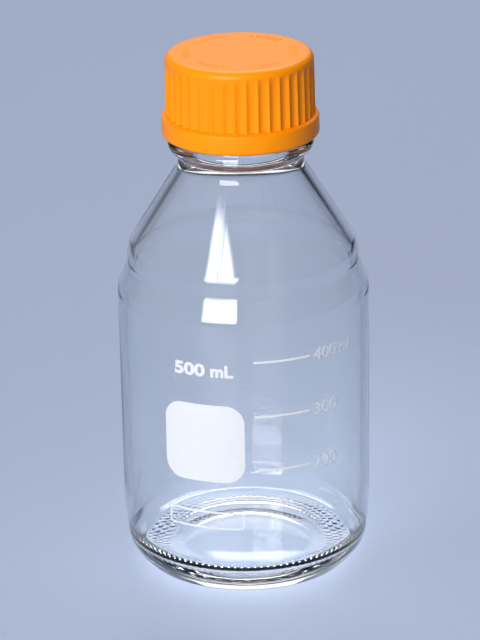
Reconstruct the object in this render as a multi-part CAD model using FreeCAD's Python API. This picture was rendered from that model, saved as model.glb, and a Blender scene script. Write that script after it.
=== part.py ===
import FreeCAD, Part

import math
import os

# A round 500 mL laboratory bottle of borosilicate glass with a GL 45 screw closure.
# Millimetres. The origin is the centre of the bottom, on the plane that the bottle stands on, and +Z is up.
# Angles run round the bottle from the front (-Y), positive towards +X.
# Depths are measured down from the top of the glass.

# Glass, below the shoulder
body_radius = 43.0
wall = 2.7
foot_radius = 35.5
foot_width = 6.0
foot_rounding = 3.5
push_up = 3.4
heel_radius = 41.3
heel_height = 6.2
heel_rounding = 13.0
heel_top = 22.0
floor_edge = 6.6
floor_rise = 2.4
floor_margin = 14.0
floor_rounding = 8.0
wall_top = 100.2

# Glass, shoulder: a small step in, then a cone up to the neck
step_rounding = 10.0
ledge_radius = 39.4
ledge_height = 108.8
ledge_rounding = 5.0
shoulder_height = 114.6
shoulder_rounding = 6.0
shoulder_wall = 3.0
neck_radius = 21.3
neck_depth = 32.6
neck_rounding = 14.0

# Glass, collar under the thread
collar_radius = 24.6
collar_width = 5.6
collar_slope = 2.6
collar_rounding = 2.6
collar_edge = 0.8
collar_depth = 29.2

# Glass, finish: thread root, snap groove and lip
glass_height = 176.2
bore_radius = 15.0
root_radius = 21.0
lip_radius = 20.5
lip_depth = 2.6
groove_radius = 19.6
groove_width = 2.0
lip_edge = 0.8

# Thread of the glass: a ridge on a right-hand helix
pitch = 4.0
thread_turns = 1.75
thread_depth = 15.2
ridge_crest = 22.3
ridge_crest_width = 1.2
ridge_root_width = 3.0

# Pouring ring, snapped over the lip
ring_radius = 21.2
ring_top = 0.9
ring_clearance = 0.1

# Depth by which a ridge's section runs into the wall that carries it
sunk = 0.4

# Largest share of a side that one rounding may take
rounding_share = 0.49

# Sealing disc
seal_radius = 21.2
seal_thickness = 2.0

# Screw cap
flange_radius = 26.6
flange_depth = 22.4
flange_height = 6.6
flange_slope = 0.7
flange_edge = 0.8
grip_radius = 25.25
grip_draft = 0.3
rim_rounding = 4.4
cap_roof = 3.0
cap_bore = 22.95
cap_edge = 0.7
cap_ridge_crest = 21.65
cap_ridge_root_width = 2.2
cap_ridge_crest_width = 1.1
cap_thread_turns = 1.75
flute_count = 40
flute_radius = 2.4
flute_depth = 0.7
flute_sides = 4
flute_overrun = 1.15

# Enamel print on the front of the wall
enamel = 0.08
print_margin = 1.0
spot_left_angle = -38.6
spot_right_angle = -0.6
spot_bottom = 43.8
spot_top = 71.8
spot_corner = 6.6
spot_corner_sides = 5
line_left_angle = 3.8
line_right_angle = 30.4
line_width = 0.75
first_line = 48.2
line_spacing = 19.6
first_volume = 200
volume_step = 100
volume_lines = 3
box_left_angle = -37.3
box_right_angle = -1.2
box_bottom = 26.4
box_top = 32.8
box_corner = 1.6
box_corner_sides = 2
box_line = 0.6

# Places that follow from the sizes above
neck_height = glass_height - neck_depth
collar_height = glass_height - collar_depth
thread_start = glass_height - thread_depth
flange_bottom = glass_height - flange_depth
lip_bottom = glass_height - lip_depth
groove_bottom = lip_bottom - groove_width
groove_top = lip_bottom - (lip_radius - groove_radius)
seal_bottom = glass_height + ring_top
roof_bottom = seal_bottom + seal_thickness
cap_top = roof_bottom + cap_roof
flange_top = flange_bottom + flange_height


def arc_through(start, middle, end):
    """An arc edge in the XZ plane through three (radius, height) points."""
    points = [FreeCAD.Vector(p[0], 0, p[1]) for p in (start, middle, end)]
    return Part.Arc(*points).toShape()


def line_between(start, end):
    """A straight edge in the XZ plane between two (radius, height) points."""
    return Part.makeLine(FreeCAD.Vector(start[0], 0, start[1]), FreeCAD.Vector(end[0], 0, end[1]))


def dome(rim, top):
    """An arc from a rim up to a top on the axis, level there, so that it turns into part of a ball."""
    rise = top[1] - rim[1]
    ball = (rim[0] ** 2 + rise**2) / (2 * rise)
    half = rim[0] / 2
    return arc_through(rim, (half, top[1] - ball + math.sqrt(ball**2 - half**2)), top)


def outline_edges(corners):
    """Edges through (radius, height, rounding) corners, each rounding an arc tangent to both its sides."""
    points = [FreeCAD.Vector(c[0], c[1], 0) for c in corners]
    starts, middles, ends = [], [], []
    for i, corner in enumerate(corners):
        here = points[i]
        rounding = corner[2] if 0 < i < len(corners) - 1 else 0
        if rounding == 0:
            starts.append(here)
            middles.append(None)
            ends.append(here)
            continue
        back = points[i - 1] - here
        ahead = points[i + 1] - here
        half = back.getAngle(ahead) / 2
        room = rounding_share * min(back.Length, ahead.Length)
        reach = min(rounding / math.tan(half), room)
        bisector = (back.normalize() + ahead.normalize()).normalize()
        radius = reach * math.tan(half)
        starts.append(here + back * reach)
        ends.append(here + ahead * reach)
        middles.append(here + bisector * (radius / math.sin(half) - radius))
    edges = []
    for i in range(len(corners)):
        if middles[i] is not None:
            edges.append(arc_through(starts[i], middles[i], ends[i]))
        if i < len(corners) - 1:
            edges.append(line_between(ends[i], starts[i + 1]))
    return edges


def revolved(edges):
    """A solid turned about the Z axis from edges that close on themselves."""
    face = Part.Face(Part.Wire(edges))
    return face.revolve(FreeCAD.Vector(0, 0, 0), FreeCAD.Vector(0, 0, 1), 360)


def cone_radius(height, inset):
    """Radius of the shoulder's cone at a height, moved in by a distance square to its surface."""
    rise = neck_height - shoulder_height
    run = ledge_radius - neck_radius
    shift = inset * math.hypot(rise, run) / rise
    return ledge_radius - (height - shoulder_height) * run / rise - shift


def cone_height(radius, inset):
    """Height at which the inset cone has a given radius."""
    rise = neck_height - shoulder_height
    run = ledge_radius - neck_radius
    return shoulder_height + (cone_radius(shoulder_height, inset) - radius) * rise / run


def glass_outside():
    """Corners of the glass from the foot to the top of the lip."""
    collar_low = collar_height + collar_slope
    collar_top = collar_height + collar_width
    return [
        (foot_radius - foot_width, 0, 0),
        (foot_radius, 0, foot_rounding),
        (heel_radius, heel_height, heel_rounding),
        (body_radius, heel_top, 0),
        (body_radius, wall_top, step_rounding),
        (ledge_radius, ledge_height, ledge_rounding),
        (ledge_radius, shoulder_height, shoulder_rounding),
        (neck_radius, neck_height, neck_rounding),
        (neck_radius, collar_height, 0),
        (collar_radius, collar_low, collar_rounding),
        (collar_radius, collar_top - collar_edge, 0),
        (collar_radius - collar_edge, collar_top, 0),
        (root_radius, collar_top, 0),
        (root_radius, groove_bottom, 0),
        (groove_radius, groove_bottom, 0),
        (groove_radius, groove_top, 0),
        (lip_radius, lip_bottom, 0),
        (lip_radius, glass_height - lip_edge, 0),
        (lip_radius - lip_edge, glass_height, 0),
        (bore_radius + lip_edge, glass_height, 0),
        (bore_radius, glass_height - lip_edge, 0),
    ]


def glass_inside():
    """Corners of the glass from the lip down the bore and the inner wall to the floor's edge."""
    inner = body_radius - wall
    step = body_radius - ledge_radius
    drop = wall * math.tan(math.atan2(step, ledge_height - wall_top) / 2)
    return [
        (bore_radius, cone_height(bore_radius, shoulder_wall), 0),
        (inner - step, cone_height(inner - step, shoulder_wall), 0),
        (inner - step, ledge_height - drop, 0),
        (inner, wall_top - drop, 0),
        (inner, floor_edge, floor_rounding),
        (inner - floor_margin, floor_edge, 0),
    ]


def ridge_section(root, depth, crest, root_width, crest_width):
    """Corners of a ridge whose flanks run straight from its crest to a depth inside the wall it stands on."""
    spread = (root_width - crest_width) / 2
    deep = crest_width / 2 + spread * (root + depth - crest) / (root - crest)
    top = crest_width / 2
    return [(root + depth, -deep), (crest, -top), (crest, top), (root + depth, deep)]


def ridge_on_helix(corners, radius, turns, start):
    """A solid swept up a right-hand helix from a closed section of (radius, height) corners."""
    section = Part.makePolygon([FreeCAD.Vector(r, 0, z) for r, z in corners + corners[:1]])
    helix = Part.makeHelix(pitch, pitch * turns, radius)
    ridge = Part.Wire(helix.Edges).makePipeShell([section], True, True)
    ridge.translate(FreeCAD.Vector(0, 0, start))
    return ridge


def glass_thread():
    """The ridge of the glass, with both ends planed off along the root of the neck."""
    corners = ridge_section(root_radius, -sunk, ridge_crest, ridge_root_width, ridge_crest_width)
    ridge = ridge_on_helix(corners, root_radius, thread_turns, thread_start)
    plane = Part.makeBox(
        ridge_crest, 2 * ridge_crest, pitch, FreeCAD.Vector(root_radius, -ridge_crest, -pitch / 2)
    )
    planes = []
    for turns in (0, thread_turns):
        cutter = plane.copy()
        cutter.rotate(FreeCAD.Vector(0, 0, 0), FreeCAD.Vector(0, 0, 1), 360 * turns)
        cutter.translate(FreeCAD.Vector(0, 0, thread_start + pitch * turns))
        planes.append(cutter)
    return ridge.cut(planes)


def glass_bottle():
    """One blown piece: foot, wall, shoulder, collar and threaded finish."""
    outside = glass_outside()
    inside = glass_inside()
    floor_centre = (0, floor_edge + floor_rise)
    foot_centre = (0, push_up)
    edges = outline_edges(outside + inside)
    edges.append(dome(inside[-1][:2], floor_centre))
    edges.append(line_between(floor_centre, foot_centre))
    edges.append(dome(outside[0][:2], foot_centre))
    return revolved(edges).fuse(glass_thread()).removeSplitter()


def pouring_ring():
    """A moulded ring over the lip, held by a bead that snaps into the groove, with a sharp pouring edge."""
    inner = bore_radius + lip_edge
    skirt = lip_radius + ring_clearance
    bead = groove_radius + ring_clearance
    bead_bottom = groove_bottom + ring_clearance
    bead_top = groove_top - ring_clearance
    corners = [
        (inner, glass_height, 0),
        (inner, seal_bottom, 0),
        (ring_radius, seal_bottom, 0),
        (ring_radius, bead_bottom, 0),
        (bead, bead_bottom, 0),
        (bead, bead_top, 0),
        (skirt, bead_top + skirt - bead, 0),
        (skirt, glass_height, 0),
        (inner, glass_height, 0),
    ]
    return revolved(outline_edges(corners))


def cap_seal():
    """The soft disc that the cap presses on the pouring ring."""
    return Part.makeCylinder(seal_radius, seal_thickness, FreeCAD.Vector(0, 0, seal_bottom))


def cap_blank():
    """The cap before its flutes: fluted wall, flange, roof and plain bore."""
    rim_radius = grip_radius - grip_draft
    corners = [
        (0, roof_bottom, 0),
        (cap_bore, roof_bottom, 0),
        (cap_bore, flange_bottom + cap_edge, 0),
        (cap_bore + cap_edge, flange_bottom, 0),
        (flange_radius - flange_edge, flange_bottom, 0),
        (flange_radius, flange_bottom + flange_edge, 0),
        (flange_radius, flange_top - flange_edge, 0),
        (flange_radius - flange_edge, flange_top, 0),
        (grip_radius, flange_top + flange_slope, 0),
        (rim_radius, cap_top, rim_rounding),
        (0, cap_top, 0),
        (0, roof_bottom, 0),
    ]
    return revolved(outline_edges(corners))


def flute_section():
    """Corners of a flute on its arc, from one edge to the other, closed outside the wall."""
    half_angle = math.acos(1 - flute_depth / flute_radius)
    centre = grip_radius - flute_depth + flute_radius
    corners = []
    for i in range(flute_sides + 1):
        angle = half_angle * (2 * i / flute_sides - 1) * flute_overrun
        corners.append((centre - flute_radius * math.cos(angle), flute_radius * math.sin(angle)))
    return corners


def cap_flutes():
    """Leaning cutters for the flutes, one per pitch round the wall, from the flange to the rounded rim."""
    low = flange_top + flange_slope
    high = cap_top - rim_rounding
    points = [FreeCAD.Vector(x, y, low) for x, y in flute_section()]
    lean = FreeCAD.Vector(-grip_draft, 0, cap_top - low) * ((high - low) / (cap_top - low))
    first = Part.Face(Part.makePolygon(points + points[:1])).extrude(lean)
    cutters = []
    for i in range(flute_count):
        cutter = first.copy()
        cutter.rotate(FreeCAD.Vector(0, 0, 0), FreeCAD.Vector(0, 0, 1), 360 * i / flute_count)
        cutters.append(cutter)
    return cutters


def cap_thread():
    """The ridge inside the cap, half a pitch below the ridge of the glass."""
    corners = ridge_section(cap_bore, sunk, cap_ridge_crest, cap_ridge_root_width, cap_ridge_crest_width)
    return ridge_on_helix(corners, cap_bore, cap_thread_turns, thread_start - pitch / 2)


def screw_cap():
    """The moulded cap with its flutes, flange and inner thread."""
    return cap_blank().cut(cap_flutes()).fuse(cap_thread()).removeSplitter()


def printed(left, right, bottom, top, corner, corner_sides):
    """A field of enamel on the wall between two angles and two heights, with rounded corners."""
    middle = (left + right) / 2
    half_width = body_radius * math.sin(math.radians(right - left) / 2)
    outer_corners = ((half_width, top), (-half_width, top), (-half_width, bottom), (half_width, bottom))
    stamp_corners = []
    for i, (x, z) in enumerate(outer_corners):
        if corner == 0:
            stamp_corners.append(FreeCAD.Vector(x, 0, z))
            continue
        centre = FreeCAD.Vector(x - math.copysign(corner, x), 0, z - (corner if i < 2 else -corner))
        for j in range(corner_sides + 1):
            angle = math.radians(90 * (i + j / corner_sides))
            stamp_corners.append(centre + FreeCAD.Vector(math.cos(angle), 0, math.sin(angle)) * corner)
    stamp = Part.Face(Part.makePolygon(stamp_corners + stamp_corners[:1]))
    stamp = stamp.extrude(FreeCAD.Vector(0, -body_radius - 2 * enamel, 0))
    stamp.rotate(FreeCAD.Vector(0, 0, 0), FreeCAD.Vector(0, 0, 1), middle)
    foot = FreeCAD.Vector(0, 0, bottom - print_margin)
    tall = top - bottom + 2 * print_margin
    skin = Part.makeCylinder(body_radius + enamel, tall, foot).cut(Part.makeCylinder(body_radius, tall, foot))
    return skin.common(stamp)


def marking_spot():
    """The white field for writing on."""
    return printed(spot_left_angle, spot_right_angle, spot_bottom, spot_top, spot_corner, spot_corner_sides)


def graduation(number):
    """One volume line, counted from the lowest."""
    height = first_line + number * line_spacing
    return printed(line_left_angle, line_right_angle, height - line_width / 2, height + line_width / 2, 0, 0)


def code_box():
    """The outlined box under the white field."""
    outer = printed(box_left_angle, box_right_angle, box_bottom, box_top, box_corner, box_corner_sides)
    margin = math.degrees(box_line / body_radius)
    inner = printed(
        box_left_angle + margin,
        box_right_angle - margin,
        box_bottom + box_line,
        box_top - box_line,
        box_corner - box_line,
        box_corner_sides,
    )
    return outer.cut(inner)


parts = {
    "glass_bottle": glass_bottle(),
    "pouring_ring": pouring_ring(),
    "cap_seal": cap_seal(),
    "screw_cap": screw_cap(),
    "marking_spot": marking_spot(),
    "code_box": code_box(),
}
for number in range(volume_lines):
    parts[f"graduation_{first_volume + number * volume_step}"] = graduation(number)

os.makedirs("parts", exist_ok=True)
for name, shape in parts.items():
    solids = shape.Solids
    print(f"{name}: {len(solids)} solid, valid {shape.isValid()}, {shape.Volume:.1f} mm3")
    body = solids[0] if len(solids) == 1 else shape
    body.exportStep(f"parts/{name}.step")
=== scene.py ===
import math

import bmesh
import bpy
from mathutils import Matrix, Vector


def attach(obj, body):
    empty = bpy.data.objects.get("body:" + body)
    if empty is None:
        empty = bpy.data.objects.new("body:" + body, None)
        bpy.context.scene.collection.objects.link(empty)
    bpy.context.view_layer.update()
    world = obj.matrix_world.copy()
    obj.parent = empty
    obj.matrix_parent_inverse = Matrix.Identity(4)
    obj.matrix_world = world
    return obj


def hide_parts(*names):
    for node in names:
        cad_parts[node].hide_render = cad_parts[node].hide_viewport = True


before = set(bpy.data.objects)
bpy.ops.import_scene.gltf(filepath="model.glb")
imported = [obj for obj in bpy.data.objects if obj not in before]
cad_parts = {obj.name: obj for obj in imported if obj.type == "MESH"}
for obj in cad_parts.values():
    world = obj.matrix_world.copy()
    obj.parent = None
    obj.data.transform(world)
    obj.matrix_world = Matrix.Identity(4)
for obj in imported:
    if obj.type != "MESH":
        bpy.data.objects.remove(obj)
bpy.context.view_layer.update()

# A 500 mL laboratory bottle of clear glass with an orange screw cap and white enamel print.
# Sizes are in millimetres and become metres where a mesh is made. Angles run round the bottle
# from the front (-Y), positive towards +X.
MM = 0.001

# Turned pieces are made of equal sectors, merged where they meet, with a distance in metres
sectors = 20
merge_distance = 1e-6

# Roundings below this one get fewer points, and none takes more than this share of a side
small_rounding = 2.0
rounding_share = 0.49

# Distance within which two points count as level
same_place = 0.01

# Glass, below the shoulder. The hollow is the pushed-up middle of the base.
body_radius = 43.0
wall = 2.7
glass_steps = 480
hollow_centre = 3.4
hollow_radius = 16.0
hollow_height = 2.7
hollow_rounding = 60.0
foot_inside = 26.5
foot_lift = 0.15
foot_inside_rounding = 6.0
foot_radius = 36.4
foot_rounding = 2.5
heel_radius = 41.5
heel_height = 6.2
heel_rounding = 13.0
heel_top = 22.0
heel_top_rounding = 60.0
wall_top = 100.2

# Glass, shoulder: a small step in, then a cone up to the neck
step_rounding = 10.0
ledge_radius = 39.4
ledge_height = 108.8
ledge_rounding = 5.0
shoulder_height = 114.6
shoulder_rounding = 6.0
neck_radius = 21.3
neck_height = 143.6
neck_rounding = 14.0

# Glass, collar under the thread
collar_radius = 24.6
collar_bottom = 147.0
collar_bottom_rounding = 1.2
collar_low = 149.6
collar_low_rounding = 2.6
collar_top = 152.6
collar_top_rounding = 1.6
collar_seat_rounding = 0.8

# Glass, finish: thread root, snap groove and lip
glass_height = 176.2
root_radius = 21.0
groove_radius = 19.6
groove_bottom = 171.6
groove_top = 172.7
groove_rounding = 0.3
lip_radius = 20.5
lip_bottom = 173.6
lip_rounding = 1.2
bore_radius = 15.0
mouth_rounding = 1.6

# Glass, inside from the bore down to the floor
bore_bottom = 148.0
bore_rounding = 10.0
inner_ledge_radius = 36.7
inner_shoulder_height = 113.3
inner_shoulder_rounding = 5.0
inner_ledge_height = 108.3
inner_ledge_rounding = 4.0
inner_wall_top = 99.7
inner_step_rounding = 8.0
floor_edge = 7.0
floor_rounding = 16.0
dish_radius = 24.0
dish_height = 6.9
dish_rounding = 40.0
floor_centre = 9.0

# Seam left by the two halves of the mould, on the outside: its columns of points and its height
seam_columns = (-16, 224)
seam_bottom = 8.0
seam_top = 142.0
seam_step = 108.0
wall_seam_height = 0.04
shoulder_seam_height = 0.22

# Stipple on the standing ring, raised downwards from a flat band
stipple_height = 0.45
stipple_rows = (28.4, 30.6, 32.8, 35.0)
stipple_count = 80
stipple_radius = 1.05
stipple_reach = 3.0
band_inside = 27.2
band_outside = 33.8
band_step = 0.4
band_rings = 17

# Thread, raised from a band of close rings on the neck
pitch = 4.0
thread_turns = 1.75
thread_start = 161.0
thread_bottom = 157.5
thread_top = 170.5
thread_step = 0.3
thread_rings = 44
root_tolerance = 0.02
ridge_height = 1.3
ridge_crest = 0.6
ridge_foot = 1.5
ridge_run_out = 0.06

# Cap
cap_top = 182.1
cap_bottom = 153.8
cap_bottom_edge = 0.7
cap_bore = 22.95
cap_roof = 179.1
cap_roof_rounding = 0.8
flange_radius = 26.6
flange_top = 160.4
flange_lean = 0.1
flange_top_rounding = 1.0
flange_bottom_rounding = 1.2
shelf_height = 160.9
shelf_rounding = 0.3
grip_radius = 25.25
rim_radius = 24.95
rim_lean = 0.02
rim_rounding = 4.4
flute_count = 40
flute_steps = 16
flute_half_width = 1.8
flute_depth = 0.85
flute_softness = 0.1
flute_end = 176.7
flute_skin = 23.5
gate_radius = 1.5
gate_depth = 0.12
gate_edge = 0.3

# Raised bars on the cap's face
mark_height = 0.15
mark_groups = 6
mark_lengths = (2.6, 1.8, 2.6, 2.6, 1.8, 2.6, 1.8)
mark_spacing = 5.6
mark_radius = 18.2
mark_width = 0.6
mark_thickness = 0.5
mark_edge = 0.12

# Ridge inside the cap: half widths at its root, its flank and its crest
cap_ridge_height = 1.3
cap_ridge_sunk = 0.3
cap_ridge_edge = 0.25
cap_ridge_root = 1.2
cap_ridge_flank = 0.62
cap_ridge_crest = 0.35
cap_ridge_steps = 96

# Pouring ring and seal
ring_bottom = 171.7
ring_top = 177.1
ring_radius = 21.2
ring_mouth = 15.8
ring_clearance = 0.1
ring_seat = 0.02
ring_rounding = 0.35
ring_foot_rounding = 0.3
ring_inside_rounding = 0.2
seal_rounding = 0.3
hidden_steps = 240

# Print: (left, right) angles and (bottom, top) heights
enamel = 0.08
enamel_seat = 0.01
print_step = 0.8
spot_angles = (-38.6, -0.6)
spot_heights = (43.8, 71.8)
spot_corner = 6.6
box_angles = (-37.3, -1.2)
box_heights = (26.4, 32.8)
box_corner = 1.6
box_line = 0.6
line_angles = (3.8, 30.4)
line_width = 0.75
line_corner = 0.2
line_count = 3
first_line = 48.2
line_spacing = 19.6
first_volume = 200
volume_step = 100
number_angles = (32.3, 45.3)
number_height = 4.3
bold = 0.4


def arc_points(start, corner, end, radius, steps):
    """Points of the arc tangent to both sides of a corner, from one side to the other."""
    back = (start - corner).normalized()
    ahead = (end - corner).normalized()
    half = back.angle(ahead) / 2
    room = rounding_share * min((start - corner).length, (end - corner).length)
    reach = min(radius / math.tan(half), room)
    radius = reach * math.tan(half)
    bisector = (back + ahead).normalized()
    centre = corner + bisector * (radius / math.sin(half))
    first = corner + back * reach - centre
    last = corner + ahead * reach - centre
    turn = first.angle_signed(last)
    points = []
    for i in range(steps + 1):
        spoke = first.copy()
        spoke.rotate(Matrix.Rotation(-turn * i / steps, 2))
        points.append(centre + spoke)
    return points


def outline(corners, closed=False, degrees_per_step=7):
    """Points through (radius, height, rounding) corners, with arcs where a rounding is given.

    Small roundings get half as many points as large ones.
    """
    places = [Vector(c[:2]) for c in corners]
    points = []
    for i, here in enumerate(places):
        rounding = corners[i][2]
        inside = closed or 0 < i < len(places) - 1
        if not inside or rounding == 0:
            points.append(here)
            continue
        before = places[i - 1]
        after = places[(i + 1) % len(places)]
        bend = 180 - math.degrees((before - here).angle(after - here))
        coarser = 2 if rounding < small_rounding else 1
        steps = max(2, round(bend / (degrees_per_step * coarser)))
        points.extend(arc_points(before, here, after, rounding, steps))
    return points


def spun(points, steps, closed=False):
    """A bmesh of an outline turned about the Z axis: one sector is spun, then repeated all round."""
    bm = bmesh.new()
    verts = [bm.verts.new((p.x * MM, 0, p.y * MM)) for p in points]
    pairs = list(zip(verts, verts[1:]))
    if closed:
        pairs.append((verts[-1], verts[0]))
    edges = [bm.edges.new(pair) for pair in pairs]
    sector = 2 * math.pi / sectors
    round_z = {"cent": (0, 0, 0), "axis": (0, 0, 1)}
    bmesh.ops.spin(bm, geom=verts + edges, angle=sector, steps=steps // sectors, **round_z)
    whole = bm.verts[:] + bm.edges[:] + bm.faces[:]
    rest = {"angle": 2 * math.pi - sector, "steps": sectors - 1, "use_duplicate": True}
    bmesh.ops.spin(bm, geom=whole, **rest, **round_z)
    bmesh.ops.remove_doubles(bm, verts=bm.verts, dist=merge_distance)
    bmesh.ops.recalc_face_normals(bm, faces=bm.faces)
    return bm


def piece(name, bm, body, material, node=None, crease=35):
    """A finished object from a bmesh, riding on its body."""
    mesh = bpy.data.meshes.new(name)
    bm.to_mesh(mesh)
    bm.free()
    mesh.shade_smooth()
    if crease:
        mesh.set_sharp_from_angle(angle=math.radians(crease))
    mesh.materials.append(material)
    thing = bpy.data.objects.new(name, mesh)
    bpy.context.scene.collection.objects.link(thing)
    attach(thing, body)
    if node:
        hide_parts(node)
    return thing


def polar(co):
    """Radius, turn and height of a point, in millimetres and turns counted from +X."""
    return math.hypot(co.x, co.y) / MM, math.atan2(co.y, co.x) / (2 * math.pi) % 1.0, co.z / MM


def set_radius(co, radius):
    """Moves a point in or out to a radius in millimetres."""
    scale = radius * MM / math.hypot(co.x, co.y)
    co.x *= scale
    co.y *= scale


def smooth(value):
    """An S-curve from 0 to 1."""
    value = min(max(value, 0.0), 1.0)
    return value * value * (3 - 2 * value)


# Materials


def new_material(name):
    """A material with its node tree and its Principled shader."""
    material = bpy.data.materials.new(name)
    material.use_nodes = True
    tree = material.node_tree
    return material, tree, tree.nodes["Principled BSDF"]


def noise_on(tree, scale, detail, stretch=(1, 1, 1)):
    """A noise on Object coordinates, with its scale in features per metre."""
    coordinates = tree.nodes.new("ShaderNodeTexCoord")
    mapping = tree.nodes.new("ShaderNodeMapping")
    mapping.inputs["Scale"].default_value = stretch
    noise = tree.nodes.new("ShaderNodeTexNoise")
    noise.inputs["Scale"].default_value = scale
    noise.inputs["Detail"].default_value = detail
    tree.links.new(coordinates.outputs["Object"], mapping.inputs["Vector"])
    tree.links.new(mapping.outputs["Vector"], noise.inputs["Vector"])
    return noise.outputs["Fac"]


def bump(tree, shader, height, distance):
    """A bump of a height output on a shader, its distance in metres."""
    node = tree.nodes.new("ShaderNodeBump")
    node.inputs["Strength"].default_value = 1.0
    node.inputs["Distance"].default_value = distance
    tree.links.new(height, node.inputs["Height"])
    tree.links.new(node.outputs["Normal"], shader.inputs["Normal"])


def ranged(tree, value, low, high):
    """A value between 0 and 1 spread over another range."""
    node = tree.nodes.new("ShaderNodeMapRange")
    node.inputs["To Min"].default_value = low
    node.inputs["To Max"].default_value = high
    tree.links.new(value, node.inputs["Value"])
    return node.outputs["Result"]


def tinted(tree, value, first, second):
    """A colour between two, by a value from 0 to 1."""
    node = tree.nodes.new("ShaderNodeMix")
    node.data_type = "RGBA"
    node.inputs["A"].default_value = (*first, 1)
    node.inputs["B"].default_value = (*second, 1)
    tree.links.new(value, node.inputs["Factor"])
    return node.outputs["Result"]


def clear_glass():
    """Borosilicate glass with the slow waves of a blown wall."""
    material, tree, shader = new_material("clear_glass")
    shader.inputs["Base Color"].default_value = (0.985, 0.995, 0.992, 1)
    shader.inputs["Roughness"].default_value = 0.0
    shader.inputs["IOR"].default_value = 1.473
    shader.inputs["Transmission Weight"].default_value = 1.0
    waves = noise_on(tree, scale=45, detail=1.0, stretch=(1, 1, 0.35))
    bump(tree, shader, waves, distance=0.00009)
    return material


def orange_plastic():
    """Moulded polypropylene: satin, with slow patches of colour and a fine skin."""
    material, tree, shader = new_material("orange_plastic")
    patches = noise_on(tree, scale=60, detail=3.0)
    colour = tinted(tree, patches, (1.0, 0.26, 0.0), (1.0, 0.30, 0.0))
    tree.links.new(colour, shader.inputs["Base Color"])
    shader.inputs["Specular IOR Level"].default_value = 0.2
    gloss = ranged(tree, noise_on(tree, scale=400, detail=4.0), low=0.3, high=0.4)
    tree.links.new(gloss, shader.inputs["Roughness"])
    bump(tree, shader, noise_on(tree, scale=2500, detail=3.0), distance=0.00002)
    return material


def white_enamel():
    """Fired white enamel, satin and a little uneven."""
    material, tree, shader = new_material("white_enamel")
    grain = noise_on(tree, scale=500, detail=4.0)
    colour = tinted(tree, grain, (0.70, 0.71, 0.73), (0.76, 0.77, 0.78))
    tree.links.new(colour, shader.inputs["Base Color"])
    shader.inputs["Roughness"].default_value = 0.45
    bump(tree, shader, noise_on(tree, scale=3500, detail=3.0), distance=0.00001)
    return material


def soft_seal():
    """The pale soft sealing disc."""
    material, tree, shader = new_material("soft_seal")
    patches = noise_on(tree, scale=120, detail=3.0)
    colour = tinted(tree, patches, (0.78, 0.77, 0.72), (0.84, 0.83, 0.79))
    tree.links.new(colour, shader.inputs["Base Color"])
    shader.inputs["Roughness"].default_value = 0.55
    bump(tree, shader, noise_on(tree, scale=1800, detail=3.0), distance=0.00003)
    return material


def pale_floor():
    """The pale studio floor, with a faint grain."""
    material, tree, shader = new_material("pale_floor")
    grain = noise_on(tree, scale=300, detail=3.0)
    colour = tinted(tree, grain, (0.26, 0.313, 0.445), (0.28, 0.337, 0.475))
    tree.links.new(colour, shader.inputs["Base Color"])
    tree.links.new(ranged(tree, grain, low=0.4, high=0.5), shader.inputs["Roughness"])
    return material


glass = clear_glass()
orange = orange_plastic()
white = white_enamel()
seal_material = soft_seal()


# Glass bottle


def glass_foot():
    """Corners under the base, from the middle of the hollow to the band of the stipple."""
    return [
        (0, hollow_centre, 0),
        (hollow_radius, hollow_height, hollow_rounding),
        (foot_inside, stipple_height + foot_lift, foot_inside_rounding),
        (band_inside, stipple_height, 0),
    ]


def glass_outside():
    """Corners of the outside, from the band of the stipple to the root of the thread."""
    return [
        (band_outside, stipple_height, 0),
        (foot_radius, stipple_height, foot_rounding),
        (heel_radius, heel_height, heel_rounding),
        (body_radius, heel_top, heel_top_rounding),
        (body_radius, wall_top, step_rounding),
        (ledge_radius, ledge_height, ledge_rounding),
        (ledge_radius, shoulder_height, shoulder_rounding),
        (neck_radius, neck_height, neck_rounding),
        (neck_radius, collar_bottom, collar_bottom_rounding),
        (collar_radius, collar_low, collar_low_rounding),
        (collar_radius, collar_top, collar_top_rounding),
        (root_radius, collar_top, collar_seat_rounding),
        (root_radius, thread_bottom, 0),
    ]


def glass_finish():
    """Corners from above the thread, over the groove and the lip, to the mouth."""
    return [
        (root_radius, thread_top, 0),
        (root_radius, groove_bottom, groove_rounding),
        (groove_radius, groove_bottom, groove_rounding),
        (groove_radius, groove_top, groove_rounding),
        (lip_radius, lip_bottom, groove_rounding),
        (lip_radius, glass_height, lip_rounding),
        (bore_radius, glass_height, mouth_rounding),
    ]


def glass_inside():
    """Corners of the inside, from the bore down the wall to the middle of the floor."""
    inner = body_radius - wall
    return [
        (bore_radius, bore_bottom, bore_rounding),
        (inner_ledge_radius, inner_shoulder_height, inner_shoulder_rounding),
        (inner_ledge_radius, inner_ledge_height, inner_ledge_rounding),
        (inner, inner_wall_top, inner_step_rounding),
        (inner, floor_edge, floor_rounding),
        (dish_radius, dish_height, dish_rounding),
        (0, floor_centre, 0),
    ]


def glass_outline():
    """The whole wall's outline, with close rings of points on the bands of the stipple and the thread."""
    foot = outline(glass_foot())[:-1]
    band = [Vector((band_inside + band_step * i, stipple_height)) for i in range(band_rings)]
    outside = outline(glass_outside())[1:-1]
    thread = [Vector((root_radius, thread_bottom + thread_step * i)) for i in range(thread_rings)]
    upper = outline(glass_finish() + glass_inside())[1:]
    return foot + band + outside + thread + upper


def stipple_depth(radius, turn):
    """Share of a dot's height at a place on the standing ring."""
    depth = 0.0
    for row, centre in enumerate(stipple_rows):
        if abs(radius - centre) > stipple_radius:
            continue
        step = turn * stipple_count + row / 2
        across = (step - round(step)) * 2 * math.pi * centre / stipple_count
        away = math.hypot(across, radius - centre) / stipple_radius
        depth = max(depth, math.cos(min(away, 1.0) * math.pi / 2))
    return depth


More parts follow.
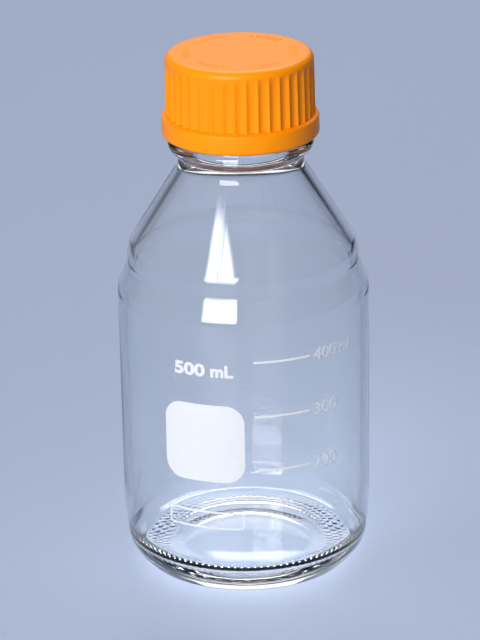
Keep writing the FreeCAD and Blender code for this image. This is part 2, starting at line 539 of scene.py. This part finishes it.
def thread_rise(turn, height):
    """Share of the ridge's height at a place on the threaded neck."""
    for lap in range(2):
        along = turn + lap
        end = min(along, thread_turns - along)
        if end < 0:
            continue
        away = abs(height - thread_start - pitch * along)
        flank = (ridge_foot - away) / (ridge_foot - ridge_crest)
        if flank > 0:
            return smooth(flank) * smooth(end / ridge_run_out)
    return 0.0


def on_seam(turn):
    """Whether a place lies on a seam's column of points. Columns are counted from the front."""
    column = round((turn - 0.75) * glass_steps)
    return any((column - seam) % glass_steps == 0 for seam in seam_columns)


def glass_bottle():
    """The turned wall, with its stipple, thread and seams raised from it."""
    bm = spun(glass_outline(), glass_steps)
    bm.normal_update()
    for vert in bm.verts:
        radius, turn, height = polar(vert.co)
        outward = vert.normal.x * vert.co.x + vert.normal.y * vert.co.y > 0
        if height < stipple_reach:
            vert.co.z -= stipple_height * stipple_depth(radius, turn) * MM
        elif abs(radius - root_radius) < root_tolerance and thread_bottom < height < thread_top:
            set_radius(vert.co, radius + ridge_height * thread_rise(turn, height))
        elif outward and seam_bottom < height < seam_top and on_seam(turn):
            vert.co += vert.normal * (wall_seam_height if height < seam_step else shoulder_seam_height) * MM
    bmesh.ops.recalc_face_normals(bm, faces=bm.faces)
    return piece("glass_bottle_clear", bm, "bottle", glass, "glass_bottle", crease=0)


# Screw cap


def cap_outline():
    """The cap's outline from the middle of its top, down the outside and up the bore to the roof."""
    face = cap_top - mark_height
    flutes = (rim_radius + rim_lean, flute_end, 0)
    top = [
        (0, face - gate_depth, 0),
        (gate_radius - gate_edge, face - gate_depth, gate_edge),
        (gate_radius + gate_edge, face, gate_edge),
        (rim_radius, face, rim_rounding),
        flutes,
    ]
    sides = [
        flutes,
        (grip_radius, shelf_height, shelf_rounding),
        (flange_radius - flange_lean, flange_top + flange_lean, flange_top_rounding),
        (flange_radius, cap_bottom, flange_bottom_rounding),
        (cap_bore, cap_bottom, cap_bottom_edge),
        (cap_bore, cap_roof, cap_roof_rounding),
        (0, cap_roof, 0),
    ]
    return outline(top, degrees_per_step=3)[:-1] + outline(sides)


def flute_cut(turn, height):
    """How far a flute cuts into the wall of the cap at a place, with soft edges and a rounded upper end."""
    scoop = (flute_half_width**2 + flute_depth**2) / (2 * flute_depth)
    step = turn * flute_count
    across = (step - round(step)) * 2 * math.pi * grip_radius / flute_count
    away = math.hypot(across, max(0.0, height - flute_end))
    if away >= scoop:
        return 0.0
    cut = math.sqrt(scoop**2 - away**2) - (scoop - flute_depth)
    raised = (math.hypot(flute_depth, flute_softness) - flute_depth) / 2
    return (cut + math.hypot(cut, flute_softness)) / 2 - raised


def cap_thread():
    """The ridge inside the cap: a section wound up a helix."""
    root = cap_bore + cap_ridge_sunk
    crest = cap_bore - cap_ridge_height
    middle = thread_start - pitch / 2
    half = [(root, cap_ridge_root), (crest + cap_ridge_edge, cap_ridge_flank), (crest, cap_ridge_crest)]
    section = [(radius, -up) for radius, up in half] + half[::-1]
    bm = bmesh.new()
    verts = [bm.verts.new((radius * MM, 0, (middle + up) * MM)) for radius, up in section]
    bm.faces.new(verts)
    bmesh.ops.spin(
        bm,
        geom=bm.verts[:] + bm.edges[:] + bm.faces[:],
        cent=(0, 0, 0),
        axis=(0, 0, 1),
        dvec=(0, 0, pitch * MM / cap_ridge_steps),
        angle=2 * math.pi * thread_turns,
        steps=round(cap_ridge_steps * thread_turns),
    )
    bmesh.ops.recalc_face_normals(bm, faces=bm.faces)
    return piece("screw_cap_thread", bm, "cap", orange)


def cap_marks():
    """The raised bars on the cap's face: plain strokes in a ring."""
    bm = bmesh.new()
    for group in range(mark_groups):
        for bar, length in enumerate(mark_lengths):
            middle = (len(mark_lengths) - 1) / 2
            angle = math.radians(360 / mark_groups * group + (bar - middle) * mark_spacing)
            reach = Matrix.Translation((mark_radius, 0, cap_top - mark_thickness / 2))
            place = Matrix.Rotation(angle, 4, "Z") @ reach
            matrix = Matrix.Scale(MM, 4) @ place @ Matrix.Diagonal((length, mark_width, mark_thickness, 1))
            bmesh.ops.create_cube(bm, size=1, matrix=matrix)
    top = [e for e in bm.edges if all(v.co.z > (cap_top - same_place) * MM for v in e.verts)]
    bmesh.ops.bevel(
        bm, geom=top, offset=mark_edge * MM, segments=2, profile=0.5, affect="EDGES", material=-1
    )
    return piece("screw_cap_marks", bm, "cap", orange)


def screw_cap():
    """The turned cap, with its flutes cut into the grip."""
    bm = spun(cap_outline(), flute_count * flute_steps)
    for vert in bm.verts:
        radius, turn, height = polar(vert.co)
        if flute_skin < radius < grip_radius + same_place and height > shelf_height - same_place:
            set_radius(vert.co, radius - flute_cut(turn, height))
    bmesh.ops.recalc_face_normals(bm, faces=bm.faces)
    return piece("screw_cap_orange", bm, "cap", orange, "screw_cap")


# Pouring ring and seal


def pouring_ring():
    """The ring that sits on the lip and snaps into the groove."""
    seat = glass_height + ring_seat
    corners = [
        (ring_mouth, seat, ring_inside_rounding),
        (ring_mouth, ring_top, ring_rounding),
        (ring_radius, ring_top, ring_rounding),
        (ring_radius, ring_bottom, ring_foot_rounding),
        (groove_radius + ring_clearance, ring_bottom, ring_inside_rounding),
        (groove_radius + ring_clearance, groove_top - ring_clearance, ring_inside_rounding),
        (lip_radius + ring_clearance, lip_bottom - ring_clearance, ring_inside_rounding),
        (lip_radius + ring_clearance, seat, ring_inside_rounding),
    ]
    bm = spun(outline(corners, closed=True, degrees_per_step=10), hidden_steps, closed=True)
    return piece("pouring_ring_orange", bm, "bottle", orange, "pouring_ring")


def cap_seal():
    """The disc between the ring and the cap's roof."""
    corners = [
        (0, ring_top, 0),
        (ring_radius, ring_top, seal_rounding),
        (ring_radius, cap_roof, seal_rounding),
        (0, cap_roof, 0),
    ]
    bm = spun(outline(corners, degrees_per_step=10), hidden_steps)
    return piece("cap_seal_soft", bm, "seal", seal_material, "cap_seal")


# Enamel print


def wrapped(bm, middle):
    """Wraps a flat print round the wall, with its X origin at an angle, and gives it thickness."""
    low = min(v.co.x for v in bm.verts)
    high = max(v.co.x for v in bm.verts)
    for i in range(1, math.ceil((high - low) / print_step)):
        bmesh.ops.bisect_plane(
            bm,
            geom=bm.verts[:] + bm.edges[:] + bm.faces[:],
            plane_co=(low + print_step * i, 0, 0),
            plane_no=(1, 0, 0),
        )
    inside = body_radius - enamel_seat
    for vert in bm.verts:
        angle = math.radians(middle) + vert.co.x / body_radius
        vert.co = Vector((math.sin(angle) * inside, -math.cos(angle) * inside, vert.co.y)) * MM
    for face in bm.faces:
        face.normal_update()
    inward = [f for f in bm.faces if f.normal.dot(Vector((*f.calc_center_median()[:2], 0))) < 0]
    bmesh.ops.reverse_faces(bm, faces=inward)
    grown = bmesh.ops.extrude_face_region(bm, geom=bm.faces[:])["geom"]
    for vert in grown:
        if isinstance(vert, bmesh.types.BMVert):
            set_radius(vert.co, body_radius + enamel)
    bmesh.ops.recalc_face_normals(bm, faces=bm.faces)


def rounded_field(width, height, corner):
    """A flat rectangle about the origin with rounded corners."""
    bm = bmesh.new()
    bmesh.ops.create_grid(bm, x_segments=1, y_segments=1, size=0.5)
    bmesh.ops.scale(bm, verts=bm.verts, vec=(width, height, 1))
    bmesh.ops.bevel(
        bm, geom=bm.verts[:], offset=corner, segments=10, profile=0.5, affect="VERTICES", material=-1
    )
    return bm


def print_between(name, angles, heights, corner, node, line=None):
    """A printed field, or a frame with a line of some width, between two angles and two heights."""
    left, right = angles
    bottom, top = heights
    width = math.radians(right - left) * body_radius
    bm = rounded_field(width, top - bottom, corner)
    if line:
        inset = {"thickness": line, "use_boundary": True, "use_even_offset": True}
        rim = bmesh.ops.inset_region(bm, faces=bm.faces[:], **inset)["faces"]
        middle = [f for f in bm.faces if f not in rim]
        bmesh.ops.delete(bm, geom=middle, context="FACES")
    bmesh.ops.translate(bm, verts=bm.verts, vec=(0, (bottom + top) / 2, 0))
    wrapped(bm, (left + right) / 2)
    return piece(name, bm, "bottle", white, node)


def print_text(name, words, angles, baseline, height, weight=0.0):
    """Numbers or letters between two angles, on a baseline, with a given height of their capitals."""
    curve = bpy.data.curves.new(name, "FONT")
    curve.body = words
    curve.size = 10
    curve.offset = weight
    curve.resolution_u = 6
    flat = bpy.data.objects.new(name + "_flat", curve)
    bpy.context.scene.collection.objects.link(flat)
    bpy.context.view_layer.update()
    mesh = bpy.data.meshes.new_from_object(flat)
    bpy.data.objects.remove(flat)
    bm = bmesh.new()
    bm.from_mesh(mesh)
    bpy.data.meshes.remove(mesh)
    bmesh.ops.remove_doubles(bm, verts=bm.verts, dist=1e-4)
    low = Vector((min(v.co.x for v in bm.verts), min(v.co.y for v in bm.verts), 0))
    high = Vector((max(v.co.x for v in bm.verts), max(v.co.y for v in bm.verts), 0))
    bmesh.ops.translate(bm, verts=bm.verts, vec=-low)
    size = high - low
    left, right = angles
    width = math.radians(right - left) * body_radius
    bmesh.ops.scale(bm, verts=bm.verts, vec=(width / size.x, height / size.y, 1))
    bmesh.ops.translate(bm, verts=bm.verts, vec=(-width / 2, baseline, 0))
    wrapped(bm, (left + right) / 2)
    return piece(name, bm, "bottle", white)


def enamel_print():
    """The marking field, the box under it, the volume lines and their numbers."""
    print_between("marking_spot_white", spot_angles, spot_heights, spot_corner, "marking_spot")
    print_between("code_box_line", box_angles, box_heights, box_corner, "code_box", line=box_line)
    for number in range(line_count):
        volume = first_volume + volume_step * number
        middle = first_line + line_spacing * number
        heights = (middle - line_width / 2, middle + line_width / 2)
        print_between(
            f"graduation_{volume}_line", line_angles, heights, line_corner, f"graduation_{volume}"
        )
    print_text("volume_500_number", "500", angles=(-32.9, -18.0), baseline=81.9, height=4.65, weight=bold)
    print_text("volume_500_unit", "mL", angles=(-15.5, -5.2), baseline=81.95, height=4.5, weight=bold)
    print_text("volume_400_number", "400", number_angles, baseline=85.2, height=number_height)
    print_text("volume_400_unit", "mL", angles=(47.8, 57.0), baseline=85.2, height=4.1)
    print_text("volume_300_number", "300", number_angles, baseline=65.65, height=number_height)
    print_text("volume_200_number", "200", number_angles, baseline=46.1, height=number_height)


# Light falls through the clear wall without a shadow, so that the base and the floor under it are lit
glass_bottle().visible_shadow = False
screw_cap()
cap_thread()
cap_marks()
pouring_ring()
cap_seal()
enamel_print()


# Studio
bottle_middle = 90.0
camera_place = (0, -1007.57, 482.96)
camera_pitch_down = 21.507
camera_yaw = -0.078
camera_roll = -1.063
camera_focal_pixels = 3150.0
frame_pixels = 640


def studio_floor():
    """A wide round floor at the bottle's foot."""
    bm = bmesh.new()
    bmesh.ops.create_circle(bm, cap_ends=True, segments=96, radius=6.0)
    mesh = bpy.data.meshes.new("studio_floor")
    bm.to_mesh(mesh)
    bm.free()
    mesh.materials.append(pale_floor())
    floor = bpy.data.objects.new("studio_floor", mesh)
    bpy.context.scene.collection.objects.link(floor)


def softbox(name, azimuth, elevation, distance, width, height, watts, edge=0.2):
    """An area light that faces the bottle and fades over a share of its width and height at the edges."""
    light = bpy.data.lights.new(name, "AREA")
    light.shape = "RECTANGLE"
    light.size = width
    light.size_y = height
    light.energy = watts
    light.use_nodes = True
    tree = light.node_tree
    place = tree.nodes.new("ShaderNodeNewGeometry")
    parts = tree.nodes.new("ShaderNodeSeparateXYZ")
    tree.links.new(place.outputs["Parametric"], parts.inputs["Vector"])
    fades = []
    for axis in ("X", "Y"):
        fold = tree.nodes.new("ShaderNodeMath")
        fold.operation = "PINGPONG"
        fold.inputs[1].default_value = 0.5
        tree.links.new(parts.outputs[axis], fold.inputs[0])
        fade = tree.nodes.new("ShaderNodeMapRange")
        fade.interpolation_type = "SMOOTHSTEP"
        fade.inputs["From Max"].default_value = edge
        tree.links.new(fold.outputs["Value"], fade.inputs["Value"])
        fades.append(fade.outputs["Result"])
    both = tree.nodes.new("ShaderNodeMath")
    both.operation = "MULTIPLY"
    tree.links.new(fades[0], both.inputs[0])
    tree.links.new(fades[1], both.inputs[1])
    tree.links.new(both.outputs["Value"], tree.nodes["Emission"].inputs["Strength"])
    lamp = bpy.data.objects.new(name, light)
    bpy.context.scene.collection.objects.link(lamp)
    lamp.matrix_world = (
        Matrix.Translation((0, 0, bottle_middle * MM))
        @ Matrix.Rotation(math.radians(azimuth), 4, "Z")
        @ Matrix.Rotation(math.radians(90 - elevation), 4, "X")
        @ Matrix.Translation((0, 0, distance))
    )


def studio_world():
    """A soft surrounding, brighter above, in front and to the left, and darker behind and to the right."""
    world = bpy.data.worlds.new("studio")
    bpy.context.scene.world = world
    world.use_nodes = True
    tree = world.node_tree
    back = tree.nodes["Background"]
    coordinates = tree.nodes.new("ShaderNodeTexCoord")
    aim = tree.nodes.new("ShaderNodeVectorMath")
    aim.operation = "DOT_PRODUCT"
    aim.inputs[1].default_value = Vector((-0.6, -0.6, 0.5)).normalized()
    ramp = tree.nodes.new("ShaderNodeMapRange")
    ramp.inputs["From Min"].default_value = -0.7
    tree.links.new(coordinates.outputs["Generated"], aim.inputs[0])
    tree.links.new(aim.outputs["Value"], ramp.inputs["Value"])
    colour = tinted(tree, ramp.outputs["Result"], (0.03, 0.04, 0.07), (0.62, 0.65, 0.70))
    tree.links.new(colour, back.inputs["Color"])
    back.inputs["Strength"].default_value = 0.6


def photo_camera():
    """The camera at the photograph's place and angle."""
    lens = bpy.data.cameras.new("camera")
    lens.sensor_fit = "VERTICAL"
    lens.sensor_height = 24.0
    lens.lens = lens.sensor_height * camera_focal_pixels / frame_pixels
    camera = bpy.data.objects.new("camera", lens)
    bpy.context.scene.collection.objects.link(camera)
    camera.matrix_world = (
        Matrix.Translation(Vector(camera_place) * MM)
        @ Matrix.Rotation(math.radians(-camera_yaw), 4, "Z")
        @ Matrix.Rotation(math.radians(90 - camera_pitch_down), 4, "X")
        @ Matrix.Rotation(math.radians(camera_roll), 4, "Z")
    )
    bpy.context.scene.camera = camera


studio_floor()
studio_world()
# Angles in degrees, with azimuth 0 in front and positive towards +X; distances and sizes in metres
softbox(
    "key_softbox", azimuth=-23, elevation=25.9, distance=1.5, width=0.84, height=0.80, watts=25, edge=0.04
)
softbox("back_softbox", azimuth=175, elevation=50, distance=2.0, width=1.6, height=1.0, watts=40)
softbox("glow_softbox", azimuth=180, elevation=17, distance=2.2, width=2.4, height=0.6, watts=5)
photo_camera()

bpy.context.scene.view_settings.view_transform = "Standard"
